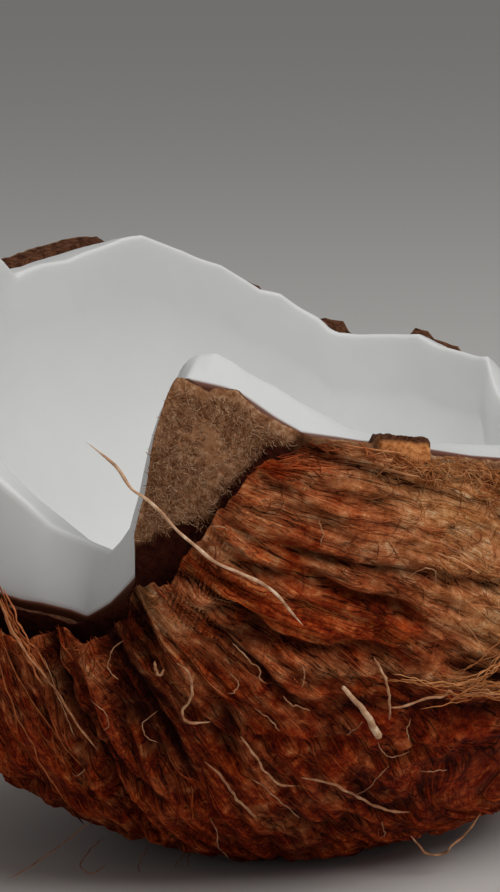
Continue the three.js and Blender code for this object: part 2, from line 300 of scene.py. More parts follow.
def cut_grooves(flat, relief, groove_shade):
    """Cut the deep grooves into the relief, each with a raised lip on both sides, and paint shade into them.
    """
    ragged = 0.3 * RAGGED(flat[:, 0] / 2.4, flat[:, 1] / 2.4, flat[:, 2] / 2.4)
    for route, deep, wide in GROOVES:
        spots = np.array(route)
        line = over_front(spots[:, 0], spots[:, 1])
        away = distance_to_line(flat, line) + ragged
        from_ends = [np.linalg.norm(flat - end, axis=1) for end in (line[0], line[-1])]
        cut = hump(away, 0, 1.15 * wide) * (0.15 + 0.85 * smoothstep(0.3, 3.5, np.minimum(*from_ends)))
        relief += -0.7 * deep * cut + 0.35 * hump(away, 2.2 * wide, wide)
        # Painted shade in each deep groove, stronger for deeper ones.
        groove_shade = np.maximum(groove_shade, min(1, 0.45 * deep) * cut)
    return relief, groove_shade


def on_ridge(flat):
    spots = np.array(RIDGE)
    return hump(distance_to_line(flat, over_front(spots[:, 0], spots[:, 1])), 0, 0.75)


def husk_surface(d):
    """Depth of the mat's outside below the egg, the painted shade in its grooves and recess, how pale it is,
    and its painted light with mottling.
    """
    along, around = fibre_coordinates(d)
    label = fibre_label(along, around)
    flat = place(d, 0.0)
    x, y, z = flat[:, 0], flat[:, 1], flat[:, 2]
    front = smoothstep(-20, -45, y)
    swirl = smoothstep(3, 19, x + 0.4 * (z - 45)) * smoothstep(26, 42, z) * smoothstep(0, -30, y)
    ridge = on_ridge(flat)
    relief, groove_shade = cut_grooves(flat, *folds(flat, label, along, swirl))
    relief += 0.6 * ridge

    lower = 34 - z
    recess = smoothstep(-20.8, -18.2, x - 0.17 * lower) * smoothstep(-12.4, -14.8, x - 0.26 * lower) * front
    recess *= smoothstep(14, 24, z)
    tufts = TUFTS(x / 1.6, y / 1.6, z / 1.6)
    worn = 2.1 * hump(azimuth_of(d), -66, 26) * smoothstep(38, 54, z)
    worn += 1.4 * smoothstep(40, 60, z) * (1 - front)
    depth = np.clip(recess * (1.5 - 0.35 * tufts) + worn - relief, -1.1, 2.7)

    mottled = PATCHES(x / 2.3, y / 2.3, z / 1.7) + 0.7 * TUFTS(x / 1.1, y / 1.1, z / 0.9)
    pale = 0.13 + 0.78 * swirl + 0.26 * PATCHES(label / 6, along / 18, 1.5)
    pale += 0.15 * smoothstep(36, 50, z) * front + 0.3 * recess * tufts
    pale -= 0.2 * np.clip((30 - z) / 26, 0, 1)
    pale += 0.22 * mottled - 0.12 * swirl + 0.4 * ridge
    patches = 0.6 * hump(x, 22, 5) * hump(z, 29.5, 4.5) + 0.7 * hump(x, -14.6, 1.4) * hump(z, 38.2, 1.9)
    pale += patches * front
    # Painted light and mottling: lighter higher up as if lit from above, a painted pool of light near x -9, z
    # 41, painted shade in the recess and darker at the lower right of the front, random mottle, the pale
    # ridge lighter and the swirl darker.
    painted_light_and_mottle = 0.36 + 0.46 * smoothstep(18, 44, z) - 0.2 * recess
    painted_light_and_mottle += 0.35 * hump(x, -9, 10) * hump(z, 41, 8) * front
    painted_light_and_mottle += 0.3 * mottled + 0.35 * ridge - 0.2 * swirl
    painted_light_and_mottle -= 0.42 * smoothstep(-6, 14, x) * smoothstep(30, 14, z) * front
    # Painted shade in the recess, added to the groove shade.
    groove_shade = np.clip(groove_shade * (1 - 0.3 * swirl) + 0.42 * recess, 0, 1)
    return depth, groove_shade, np.clip(pale, 0, 1), np.clip(painted_light_and_mottle, 0, 1)


def rim_height(rim, azimuth, column=1):
    return np.interp(azimuth, rim[:, 0], rim[:, column])


def husk_rim_height(azimuth):
    ragged = 0.7 * RAGGED(azimuth / 3.1, 0.2, 5.1) + 0.55 * RAGGED(azimuth / 1.1, 3.2, 0.4)
    torn = RAGGED(azimuth / 1.9, 1.2, 2.2) + 0.8 * RAGGED(azimuth / 0.75, 4.1, 1.3)
    return rim_height(HUSK_RIM, azimuth) + ragged + 0.9 * torn * hump(azimuth, -99, 8)


# ---------------------------------------------------------------- meshes

def new_piece(name, points, faces, node_names):
    """A mesh piece from points in millimetres and a list of equally long faces."""
    faces = np.asarray(faces, np.int32)
    sides = faces.shape[1]
    mesh = bpy.data.meshes.new(name)
    mesh.vertices.add(len(points))
    mesh.vertices.foreach_set("co", (np.asarray(points) * MM).astype(np.float32).ravel())
    mesh.loops.add(faces.size)
    mesh.loops.foreach_set("vertex_index", faces.ravel())
    mesh.polygons.add(len(faces))
    mesh.polygons.foreach_set("loop_start", np.arange(0, faces.size, sides, dtype=np.int32))
    mesh.polygons.foreach_set("use_smooth", np.full(len(faces), True))
    mesh.update(calc_edges=True)
    mesh.validate()
    piece = bpy.data.objects.new(name, mesh)
    bpy.context.scene.collection.objects.link(piece)
    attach(piece, "root")
    if node_names:
        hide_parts(*node_names)
    return piece


def add_values(piece, name, values):
    layer = piece.data.attributes.new(name, "FLOAT", "POINT")
    layer.data.foreach_set("value", np.asarray(values, np.float32))


def columns_between(fine_from, fine_to, fine_step, coarse_step):
    """Azimuths right round, close together in one stretch."""
    fine = np.arange(fine_from, fine_to, fine_step)
    coarse = np.arange(fine_to, fine_from + FULL_CIRCLE, coarse_step)
    around = np.concatenate([fine, coarse])
    return np.where(around >= HALF_CIRCLE, around - FULL_CIRCLE, around)


def bowl_faces(rings, columns):
    """Faces of a closed bowl whose rings of points lie between two single end points."""
    at = 1 + np.arange(rings * columns).reshape(rings, columns)
    after = np.roll(at, -1, axis=1)
    quads = np.stack([at[:-1], after[:-1], after[1:], at[1:]], -1).reshape(-1, 4)
    last = rings * columns + 1
    start = np.stack([np.zeros(columns, int), after[0], at[0]], -1)
    end = np.stack([np.full(columns, last), at[-1], after[-1]], -1)
    return quads, start, end


def bowl_piece(name, rings, first, last, node):
    """A closed bowl piece from an array of rings, and one point at each end.

    Each four-sided face is cut along the diagonal that changes its distance from the middle less.
    """
    count, columns = rings.shape[:2]
    points = np.concatenate([[first], rings.reshape(-1, 3), [last]])
    quads, start, end = bowl_faces(count, columns)
    far = np.linalg.norm(points - MIDDLE, axis=1)[quads]
    level = (np.abs(far[:, 0] - far[:, 2]) <= np.abs(far[:, 1] - far[:, 3]))[:, None]
    one = np.where(level, quads[:, [0, 1, 2]], quads[:, [0, 1, 3]])
    other = np.where(level, quads[:, [0, 2, 3]], quads[:, [1, 2, 3]])
    mesh_faces = np.concatenate([one, other, start, end])
    return new_piece(name, points, mesh_faces, (node,))


def ring_stack(columns, polars, depths):
    """Points for rows of polar angles and depths, each one row by column."""
    return place(direction(np.broadcast_to(columns, polars.shape), polars), depths)


def smooth_around(values, reach_columns):
    """Running mean over neighbouring columns, right round."""
    steps = range(-reach_columns, reach_columns + 1)
    return sum(np.roll(values, k) for k in steps) / len(steps)


def husk_rows(rims):
    """Rows from the pole to the rim, which follow the rim's finer raggedness only near it."""
    near_pole = np.linspace(0, 0.24, 17)[1:-1]
    shares = np.concatenate([near_pole, np.linspace(0.24, 1, 190)])[:, None]
    even, near = smooth_around(rims, 20), smooth_around(rims, 4)
    polars = even * shares + (near - even) * smoothstep(0.72, 1, shares)
    return shares, polars + (rims - near) * smoothstep(0.97, 1, shares)


def husk_lip(columns, rims, depth, steps):
    """Rings over the torn edge, from the outside's depth to the inside's."""
    thinning = (depth + 0.4) * (1 - steps) + HUSK_INNER * steps
    lip = ring_stack(columns, rims - LIP_POLAR * steps, thinning)
    torn = 0.35 * TUFTS(lip[..., 0] / 1.1, lip[..., 1] / 1.1, lip[..., 2] / 1.1)
    return lip + unit(lip - MIDDLE) * (torn * (1 - steps) * steps * 3)[..., None]


def make_husk():
    columns = columns_between(-138, -55, fine_step=0.36, coarse_step=1.25)
    rims = polar_at_height(columns, husk_rim_height(columns), HUSK_RIM_DEPTH)
    shares, polars = husk_rows(rims)
    d = direction(np.broadcast_to(columns, polars.shape), polars).reshape(-1, 3)
    depth, groove_shade, pale, painted_light_and_mottle = husk_surface(d)
    depth = depth.reshape(polars.shape)
    at_rim = smoothstep(0.965, 1, shares)
    depth = depth * (1 - at_rim) + at_rim * (smooth_around(depth[-1], 5) + 0.45)
    outer = ring_stack(columns, polars, depth)
    outer[..., 2] = np.maximum(outer[..., 2], 0)
    steps = np.linspace(0, 1, 8)[1:-1, None]
    lip = husk_lip(columns, rims, depth[-1], steps)
    down = np.linspace(1, 0, 6)[:-1, None]
    inside = (rims - INSIDE_POLAR) * down
    inner = ring_stack(columns, inside, np.full(inside.shape, HUSK_INNER))
    rings = np.concatenate([outer, lip, inner])
    lowest_inside = place(direction(0.0, 0.0), HUSK_INNER)
    husk = bowl_piece("husk_fine", rings, (0, 0, 0), lowest_inside, "husk_mat")

    spare = inside.size + 1
    # Painted shade under the torn lip, darker toward the shell; the hidden inside rows and end point get dark
    # painted shade too.
    lip_shade = np.broadcast_to(0.3 + 0.65 * steps**0.5, lip.shape[:2]).ravel()
    add_values(husk, "groove_shade", np.concatenate([[0.3], groove_shade, lip_shade, np.full(spare, 0.9)]))
    for name, values in (("pale", pale), ("painted_light_and_mottle", painted_light_and_mottle)):
        lip_values = np.tile(values[-len(columns):], len(lip))
        add_values(husk, name, np.concatenate([[0.1], values, lip_values, np.full(spare, 0.1)]))
    straight_down = [(0, 0, -1)]
    everywhere = unit(np.concatenate([straight_down, (rings - MIDDLE).reshape(-1, 3), straight_down]))
    along, around = fibre_coordinates(everywhere)
    add_values(husk, "along", along)
    add_values(husk, "label", fibre_label(along, around))
    return husk


def bare_shell(points):
    """How bare of fuzz the shell's outside is: 1 on the broken facet by the notch, and in the notch."""
    x, y, z = points[..., 0], points[..., 1], points[..., 2]
    azimuth = azimuth_of(points - MIDDLE)
    ragged = 0.5 * RAGGED(x / 1.5, y / 1.5, z / 1.5)
    facet = smoothstep(-0.35, 0.35, 45.6 + 0.45 * (x + 12) - z + ragged) * smoothstep(-8.6, -9.4, x + ragged)
    notch = smoothstep(-107, -108, azimuth) * smoothstep(-150, -140, azimuth)
    return np.maximum(facet * smoothstep(-30, -45, y), notch)


def on_flap(azimuth, height):
    """1 on the tab of the rim that stands proud."""
    sides = smoothstep(-80.1, -79.8, azimuth) * smoothstep(-73.9, -74.2, azimuth)
    return sides * smoothstep(51.6, 52.4, height)


def make_shell():
    columns = columns_between(-112, -50, fine_step=0.3, coarse_step=0.8)
    height = rim_height(SHELL_RIM, columns) + 0.14 * RAGGED(columns / 1.3, 7.7, 0.1)
    height += 0.08 * RAGGED(columns / 0.5, 2.7, 0.1)
    outer_rims = polar_at_height(columns, height, SHELL_OUTER)
    inner_rims = polar_at_height(columns, height - 0.5, SHELL_INNER)
    low = outer_rims * 0.62
    shares = np.linspace(0, 1, 80)[:, None]
    polars = np.concatenate([low * np.array([[0.3], [0.65]]), low + (outer_rims - low) * shares])
    d = direction(np.broadcast_to(columns, polars.shape), polars)
    flat = place(d, SHELL_OUTER)
    x, y, z = flat[..., 0], flat[..., 1], flat[..., 2]
    azimuth = azimuth_of(d)
    flap, bare = on_flap(azimuth, z), bare_shell(flat)
    fuzz = 0.12 * TUFTS(x / 0.8, y / 0.8, z / 0.8) + 0.15 * LUMPS(x / 5, y / 5, z / 5)
    depth = SHELL_OUTER - (1 - bare) * fuzz - 0.9 * flap + 0.45 * bare
    outer = place(d, depth)
    steps = np.linspace(0, 1, 8)[1:-1, None]
    edge_grain = 0.2 * GRAIN(columns / 0.8, steps * 3, 0.5)
    rim = ring_stack(columns, outer_rims * (1 - steps) + inner_rims * steps + edge_grain,
                     depth[-1] * (1 - steps) + SHELL_INNER * steps)
    inside = inner_rims * np.linspace(1, 0, 13)[:-1, None]
    rings = np.concatenate([outer, rim, ring_stack(columns, inside, np.full(inside.shape, SHELL_INNER))])
    shell = bowl_piece("shell_fine", rings, place(direction(0.0, 0.0), SHELL_OUTER),
                       place(direction(0.0, 0.0), SHELL_INNER), "shell")

    # Painted shadow on the shell in a ragged band just above the husk's torn edge, which stands proud of it;
    # it goes into the bare value with the bare facet and takes its near-black colour.
    ragged = 1.5 * RAGGED(x / 1.8, y / 1.8, z / 1.8) + 0.5 * TUFTS(x / 0.6, y / 0.6, z / 0.6)
    above_husk = z - husk_rim_height(azimuth) + ragged
    painted_shadow = smoothstep(2.1, 0.9, above_husk) * smoothstep(-84, -90, azimuth)
    edge = np.zeros_like(bare)
    edge[-2:] = flap[-2:]
    for name, values, rest in (("edge", edge, 1), ("bare", np.maximum(bare, painted_shadow), 0), ("flap", flap, 0)):
        everywhere = np.full(rings.shape[:2], float(rest))
        everywhere[:len(outer)] = values
        add_values(shell, name, np.concatenate([[0], everywhere.ravel(), [rest]]))
    return shell


def flesh_section(columns):
    """Points over the broken rim, from the outside face to the inside face, for each azimuth."""
    outer_edge, crest_depth, crest, inner_edge = (rim_height(FLESH_RIM, columns, k) for k in (1, 2, 3, 4))
    flat = 0 * columns
    stops = [
        (FLESH_OUTER + flat, outer_edge - 1.0),
        (FLESH_OUTER + flat, outer_edge),
        (FLESH_OUTER + 0.25 + flat, outer_edge + 0.2),
        (crest_depth, crest),
        (FLESH_INNER + flat, inner_edge),
        (FLESH_INNER + flat, inner_edge - 7.0),
    ]
    counts = [3, 2, 18, 9, 16]
    corners = []
    for depth, height in stops:
        d = direction(columns, polar_at_height(columns, height, depth))
        corners.append(MIDDLE + d * reach(d, depth)[:, None])
    rows = []
    for start, end, count in zip(corners[:-1], corners[1:], counts):
        rows += [start + (end - start) * (k / count) for k in range(count)]
    rows.append(corners[-1])
    section = np.array(rows)
    soft = smoothstep(-107, -104, columns) * (1 - smoothstep(-70, -40, columns))
    for step in range(24):
        blend = np.where(step < 1 + 3 * (columns > -50), 0.5, 0.5 * soft)[:, None]
        middle = (section[:-2] + section[2:]) / 2
        section[1:-1] += blend * (middle - section[1:-1])
        section[:6] = np.array(rows[:6])
    return section


def make_flesh():
    columns = columns_between(-140, -50, fine_step=0.4, coarse_step=0.9)
    section = flesh_section(columns)
    x, y, z = section[..., 0], section[..., 1], section[..., 2]
    waves = 0.14 * LUMPS(x / 6, y / 6, z / 6) + 0.05 * GRAIN(x / 1.6, y / 1.6, z / 1.6)
    section[6:, :, 2] += waves[6:]

    start = polar_at_height(columns, rim_height(FLESH_RIM, columns, 1) - 1.0, FLESH_OUTER)
    below = start * np.linspace(0, 1, 9)[1:-1, None]
    outer = ring_stack(columns, below, np.full(below.shape, FLESH_OUTER))
    last = unit(section[-1] - MIDDLE)
    end = np.degrees(np.arccos(-last[:, 2]))
    shares = np.linspace(1, 0, 71)[1:-1, None]
    polars = end * shares
    d = direction(np.broadcast_to(columns, polars.shape), polars)
    gap = np.linalg.norm(section[-1] - MIDDLE, axis=1) - reach(last, FLESH_INNER)
    settle = np.clip(1 - (1 - shares) * 12, 0, 1)
    inside = MIDDLE + d * (reach(d, FLESH_INNER) + gap * settle)[..., None]
    swell = 0.25 * LUMPS(inside[..., 0] / 16, inside[..., 1] / 16, inside[..., 2] / 16)
    inside += d * (swell * (1 - settle))[..., None]
    rings = np.concatenate([outer, section, inside])
    flesh = bowl_piece("flesh_fine", rings, place(direction(0.0, 0.0), FLESH_OUTER),
                       place(direction(0.0, 0.0), FLESH_INNER), "flesh")
    skin = np.zeros(rings.shape[:2])
    skin[:len(outer) + 5] = 1
    skin[len(outer) + 5] = 0.5
    add_values(flesh, "skin", np.concatenate([[1], skin.ravel(), [0]]))
    return flesh


# ---------------------------------------------------------------- fibres

def tubes(routes, widths, sides):
    """Points and faces of closed tubes. Routes are strand by point by 3, widths strand by point.

    The first and last point of each route is a tip.
    """
    strands, count = routes.shape[:2]
    tangent = unit(np.gradient(routes, axis=1) + 1e-9)
    outward = unit(routes - MIDDLE)
    across = unit(np.cross(tangent, outward))
    up = np.cross(across, tangent)
    turn = 2 * np.pi * np.arange(sides) / sides
    ring = (np.cos(turn)[:, None] * across[:, :, None, :] + np.sin(turn)[:, None] * up[:, :, None, :])
    body = routes[:, 1:-1, None, :] + ring[:, 1:-1] * (widths[:, 1:-1, None, None] / 2)
    rings = count - 2
    block = rings * sides + 2
    points = np.concatenate([routes[:, :1], body.reshape(strands, -1, 3), routes[:, -1:]], 1)
    at = 1 + np.arange(rings * sides).reshape(rings, sides)
    after = np.roll(at, -1, axis=1)
    a, b, c, e = at[:-1], after[:-1], after[1:], at[1:]
    one = np.concatenate([
        np.stack([a, c, b], -1).reshape(-1, 3), np.stack([a, e, c], -1).reshape(-1, 3),
        np.stack([np.zeros(sides, int), at[0], after[0]], -1),
        np.stack([np.full(sides, block - 1), after[-1], at[-1]], -1),
    ])
    faces = (one[None] + block * np.arange(strands)[:, None, None]).reshape(-1, 3)
    return points.reshape(-1, 3), faces, block


def strand_piece(name, routes, widths, sides, values, nodes=()):
    """One piece of many strands, with values given for each strand or for each of its points."""
    points, faces, block = tubes(routes, widths, sides)
    points[:, 2] = np.maximum(points[:, 2], 0.05)
    piece = new_piece(name, points, faces, nodes)
    for key, value in values.items():
        value = np.asarray(value, float)
        if value.ndim == 1:
            spread = np.repeat(value, block)
        else:
            inner = np.repeat(value[:, 1:-1], sides, axis=1)
            spread = np.concatenate([value[:, :1], inner, value[:, -1:]], 1).ravel()
        add_values(piece, key, spread)
    return piece


def march(rng, along, around, length, points, swing, curl):
    """Routes in fibre coordinates from starting places, following the mat with some wander."""
    step = length / (points - 1)
    heading = rng.normal(0, 1, len(along)) * swing
    bend = rng.normal(0, 1, len(along)) * curl
    a, b = along.copy(), around.copy()
    out = [(a, b)]
    for _ in range(points - 1):
        here = fibre_label(a, b)
        slope = -(fibre_label(a + 1, b) - here) / np.maximum(fibre_label(a, b + 1) - here, 0.3)
        around_step = np.maximum(np.sin(np.radians(a)), 0.2)
        turn = np.arctan(slope * around_step) + np.radians(heading)
        a = a + np.degrees(step * np.cos(turn) / MEAN_RADIUS)
        b = b + np.degrees(step * np.sin(turn) / (MEAN_RADIUS * around_step))
        heading = heading + bend + rng.normal(0, 1, len(a)) * curl * 0.7
        out.append((a, b))
    return np.stack([p[0] for p in out], 1), np.stack([p[1] for p in out], 1)


def scatter_starts(rng, count, keep):
    """Random directions below the husk's rim, spread evenly over the egg, that pass a test."""
    found = []
    total = 0
    while total < count:
        d = unit(rng.normal(size=(count * 3, 3)))
        flat = place(d, 0.0)
        good = (flat[:, 2] < husk_rim_height(azimuth_of(d)) + 0.6) & (flat[:, 2] > 0.3)
        d = d[good & keep(flat, rng)]
        found.append(d)
        total += len(d)
    return np.concatenate(found)[:count]


def lay_mat(name, seed, count, lengths, widths, swing, curl, sunk, stand, keep, tones, points):
    """One piece of the mat: strands that lie on the husk's relief, a few with a free end.

    Lengths, widths, sunk and tones are ranges. Stand is the share of strands with a free end, and how
    far out that end stands at most.
    """
    rng = np.random.default_rng(seed)
    d = scatter_starts(rng, count, keep)
    along, around = fibre_coordinates(d)
    length = rng.uniform(*lengths, len(d))
    swirl = np.clip(husk_surface(d)[2] - 0.5, 0, 1)
    looser = 1 + 3 * swirl
    a, b = march(rng, along, around, length * (1 - 0.6 * swirl), points, swing * looser, curl * looser)
    route_d = from_fibre_coordinates(a, b)
    flat_d = route_d.reshape(-1, 3)
    # Each strand takes the painted groove shade and the painted light of the husk under it.
    depth, groove_shade, pale, painted_light_and_mottle = (v.reshape(a.shape) for v in husk_surface(flat_d))
    share = np.linspace(0, 1, points)[None, :]
    arch = np.sin(np.pi * share) ** 0.5
    width = rng.uniform(*widths, len(d))[:, None]
    raise_by = rng.uniform(*sunk, len(d))[:, None] * arch - 0.15 * (1 - arch)
    free = (rng.random(len(d)) < stand[0])[:, None] * share**2.2 * rng.uniform(0.3, stand[1], len(d))[:, None]
    r = reach(flat_d, depth.ravel()).reshape(a.shape) + raise_by + free
    routes = MIDDLE + route_d * r[..., None]
    over = routes[..., 2] - husk_rim_height(azimuth_of(route_d))
    fits = (over < 0.9).all(1) & (routes[..., 2] > -0.3).all(1)
    taper = np.clip(1.25 - 1.1 * np.abs(2 * share - 1) ** 3, 0.15, 1)
    tone = rng.uniform(*tones, len(routes))
    values = {"groove_shade": groove_shade[fits], "pale": pale[fits], "painted_light_and_mottle": painted_light_and_mottle[fits], "tone": tone[fits]}
    return strand_piece(name, routes[fits], (width * taper)[fits], 3, values)


def make_shell_fuzz(name, seed, count):
    """Short hairs left on the outside of the shell above the husk's torn edge."""
    rng = np.random.default_rng(seed)
    found = []
    while sum(map(len, found)) < count:
        d = direction(rng.uniform(-105.5, -72, 4000), rng.uniform(60, 110, 4000))
        spot = place(d, SHELL_OUTER)
        azimuth = azimuth_of(d)
        good = spot[:, 2] > husk_rim_height(azimuth) + 1.0
        good &= spot[:, 2] < rim_height(SHELL_RIM, azimuth) - 1.2
        good &= (bare_shell(spot) < 0.4) & (rng.random(len(d)) < np.clip((spot[:, 2] - 36) / 10, 0.3, 1))
        found.append(d[good])
    d = np.concatenate(found)[:count]
    points = 6
    east = unit(np.cross(d, (0, 0, 1)))
    north = np.cross(east, d)
    heading = rng.uniform(0, 2 * np.pi, count)
    bend = rng.normal(0, 0.35, count)
    length = rng.uniform(0.3, 1.0, count)
    lift = rng.uniform(0.0, 0.3, count)
    spots = [place(d, SHELL_OUTER - 0.05)]
    for k in range(1, points):
        level = np.cos(heading)[:, None] * east + np.sin(heading)[:, None] * north
        way = level + (lift * (1 - k / 4))[:, None] * d
        spots.append(spots[-1] + unit(way) * (length / (points - 1))[:, None])
        heading = heading + bend
    routes = np.stack(spots, 1)
    taper = np.array([0.5, 1, 1, 0.9, 0.7, 0.3])
    width = rng.uniform(0.05, 0.095, count)[:, None] * taper
    return strand_piece(name, routes, width, 3, {"tone": rng.random(count)})


def smooth_route(spots, samples):
    """A smooth curve through points, evenly sampled."""
    spots = np.asarray(spots, float)
    padded = np.concatenate([[2 * spots[0] - spots[1]], spots, [2 * spots[-1] - spots[-2]]])
    out = []
    for i in range(len(spots) - 1):
        p0, p1, p2, p3 = padded[i:i + 4]
        for t in np.linspace(0, 1, 12, endpoint=False):
            out.append(0.5 * (2 * p1 + (p2 - p0) * t + (2 * p0 - 5 * p1 + 4 * p2 - p3) * t**2
                              + (3 * p1 - p0 - 3 * p2 + p3) * t**3))
    out = np.array(out + [spots[-1]])
    gone = np.concatenate([[0], np.cumsum(np.linalg.norm(np.diff(out, axis=0), axis=1))])
    at = np.linspace(0, gone[-1], samples)
    return np.stack([np.interp(at, gone, out[:, k]) for k in range(3)], -1)


def front_fibre(route, samples):
    """A smooth curve through points given by across, up and how far clear of the husk's outline."""
    spots = np.array(route, float)
    return smooth_route(over_front(spots[:, 0], spots[:, 1], spots[:, 2]), samples)


# Loose fibres that the solids also have: routes across, up and clear of the husk, with their width.
NAMED_FIBRES = {
    "long_fibre": (0.36, [
        (-19.5, 55.5, 1.6), (-18, 54.3, 1.5), (-16.5, 53, 1.4), (-15.2, 51, 1.3), (-13.5, 49.8, 1.2),
        (-11, 47, 1.1), (-8.5, 44.7, 1), (-6.6, 43.1, 0.9), (-4.5, 42.1, 0.9), (-2.4, 41.2, 0.9),
        (-0.6, 39.6, 0.8), (0.8, 37.6, 0.7), (2, 36, 0.5)]),
    "left_fibre": (0.24, [
        (-29, 38.5, 1.2), (-27.5, 34.5, 1.1), (-25.8, 31.2, 0.9), (-24, 28.5, 0.8), (-21.6, 24, 0.7),
        (-19.5, 20, 0.4)]),
    "curly_fibre": (0.3, [
        (-11, 31.8, 0.5), (-9.7, 31, 0.9), (-9.3, 28.8, 1.1), (-10.3, 26.4, 1.1), (-9.8, 25.1, 1),
        (-7.5, 24.8, 0.6)]),
    "slope_fibre": (0.3, [
        (-8.3, 19.5, 0.4), (-6.5, 17.8, 0.8), (-4.8, 14.8, 0.9), (-3.4, 12.4, 0.7), (-2.7, 11.1, 0.4)]),
    "belly_fibre": (0.27, [
        (-4.5, 22.9, 0.4), (-3, 20.8, 0.8), (-1.9, 18.6, 0.8), (-0.4, 16.8, 0.8), (1.4, 16.2, 0.6)]),
    "fibre_stub": (0.85, [(6.0, 28.9, 0.5), (8.1, 26.5, 1.3), (9.9, 22.9, 1.2)]),
    "branch_fibre": (0.28, [
        (10.4, 26, 0.5), (12.2, 26.2, 0.8), (14.4, 27, 1.0), (16.4, 27.2, 1.1), (17.1, 28, 1.2),
        (17.9, 27.3, 1.1), (19.7, 27.2, 1.1), (24, 26.2, 0.7)]),
    "drooping_fibre": (0.28, [(9.2, 32.2, 0.4), (10.2, 30.2, 0.8), (10.9, 27.6, 0.9), (11, 24.4, 0.6)]),
    "low_fibre": (0.3, [
        (1.8, 17.1, 0.3), (4.5, 16.6, 0.6), (6.7, 15.4, 0.6), (10.6, 12, 0.6), (14, 10.6, 0.4)]),
    "hanging_fibre": (0.28, [
        (14.2, 6.4, 0.6), (15.7, 5.3, 2.4), (17.4, 5.4, 2.9), (18.2, 6.2, 2.6), (19.8, 6.8, 2),
        (21, 8.1, 1.4), (22, 8.4, 0.6)]),
}

# Smaller loose fibres and curls on the front: the same kind of route.
SMALL_FIBRES = [
    (0.30, [(-5.3, 34.2, 0.5), (-3.5, 32.5, 0.8), (-2.5, 31.2, 0.8), (-2.5, 30.2, 0.7), (-1.8, 29.5, 0.5)]),
    (0.32, [(-0.1, 28, 0.5), (0.8, 27, 0.8), (1.7, 26.8, 0.8), (2.8, 26.1, 0.6)]),
    (0.30, [(-3, 26.5, 0.5), (-1.4, 25.2, 0.7), (-0.4, 23.5, 0.5)]),
    (0.34, [(-3.5, 17.2, 0.4), (-2, 16.3, 0.7), (-0.8, 14.8, 0.7), (1.9, 11.1, 0.5)]),
    (0.28, [(-7.8, 11.1, 0.4), (-7, 8.6, 0.7), (-6.8, 6, 0.8), (-5.7, 3.2, 0.8)]),
    (0.6, [(-13.2, 32, 0.5), (-13, 31.2, 1.1), (-12.5, 30.8, 1.2), (-12.2, 31.3, 0.9)]),
    (0.28, [(1.9, 31.6, 0.5), (2.1, 30.2, 0.8), (1.8, 28.9, 0.6)]),
    (0.26, [(-5.6, 30.8, 0.5), (-4.7, 30, 0.9), (-4.9, 28.9, 1), (-5.7, 28.5, 0.8)]),
    (0.28, [(8.3, 24.4, 0.5), (7.2, 23.7, 0.9), (6.6, 22.9, 0.7)]),
    (0.26, [(9.9, 21.7, 0.5), (10.6, 20, 0.6), (11.8, 19.6, 0.6), (13.4, 20, 0.5)]),
    (0.25, [(13.3, 24.4, 0.5), (12.9, 23, 0.8), (13.2, 21.7, 0.6)]),
    (0.24, [(-20.2, 27, 0.5), (-18.6, 25.8, 0.9), (-18, 24.2, 0.9), (-18.8, 23, 0.6)]),
    (0.24, [(-16.4, 34.2, 0.5), (-17.6, 33, 0.9), (-17.8, 31, 1), (-16.9, 29.6, 0.7)]),
    (0.26, [(-22.6, 16.3, 0.4), (-21.8, 16.5, 0.8), (-20.9, 17.4, 0.6)]),
    (0.24, [(-13, 26, 0.5), (-14.4, 24.6, 0.9), (-14.2, 22.8, 0.8), (-13, 21.8, 0.5)]),
    (0.26, [(-5.6, 46.6, 0.8), (-6.4, 47.3, 1.5), (-7.3, 47.2, 1.6)]),
    (0.24, [(3.4, 47.6, 0.5), (3.8, 46.2, 0.8), (3.6, 44.8, 0.6)]),
    (0.22, [(16, 45.4, 0.4), (16.8, 43.8, 1), (18.2, 43.6, 1.1), (18.7, 45, 0.8), (17.8, 46, 0.5)]),
    (0.22, [(12.6, 40.8, 0.4), (13.8, 42, 1), (15.2, 41.6, 1.1), (15.4, 40, 0.6)]),
    (0.26, [(-24.8, 31.5, 0.5), (-23.4, 28, 0.9), (-22.4, 24.2, 0.9), (-21.8, 21.5, 0.5)]),
    (0.24, [(7.6, 14.2, 0.4), (9, 15.6, 0.8), (10.2, 17.5, 0.9), (11.2, 18.4, 0.6)]),
    (0.22, [(14.4, 17, 0.4), (16, 17.2, 0.8), (17.6, 16.8, 0.5)]),
    (0.22, [(10.8, 9.6, 0.4), (11.2, 8, 0.8), (11, 6.8, 0.6)]),
]

# Strands of one loose bundle at the left, and of a pale tuft at the right: one route each, then the
# number of strands, how far they spread in millimetres and how thick they are.
BUNDLES = [
    ([(-29.5, 38.8, 0.9), (-28.4, 36, 0.7), (-26.8, 32.6, 0.4), (-24.8, 29, 0.1)], 7, 0.45, 0.26),
    ([(-29.8, 33, 0.2), (-28, 27, 0.2), (-25.2, 20, 0.1), (-21.8, 13.5, 0.0)], 5, 0.8, 0.18),
    ([(14.5, 28.8, 0.2), (18, 28, 0.6), (22, 27.2, 0.6), (26, 26.6, 0.3)], 7, 1.2, 0.14),
    ([(11.4, 29.2, 0.1), (14, 28.9, 0.3), (17, 28.4, 0.5), (21, 28.8, 0.3)], 5, 0.4, 0.15),
    ([(17.2, 27.9, 0.3), (20, 29.6, 0.9), (24, 32.4, 0.5)], 9, 0.9, 0.14),
    ([(17.2, 27.9, 0.3), (20, 27.6, 1.1), (24, 26.4, 0.6)], 9, 0.9, 0.14),
]

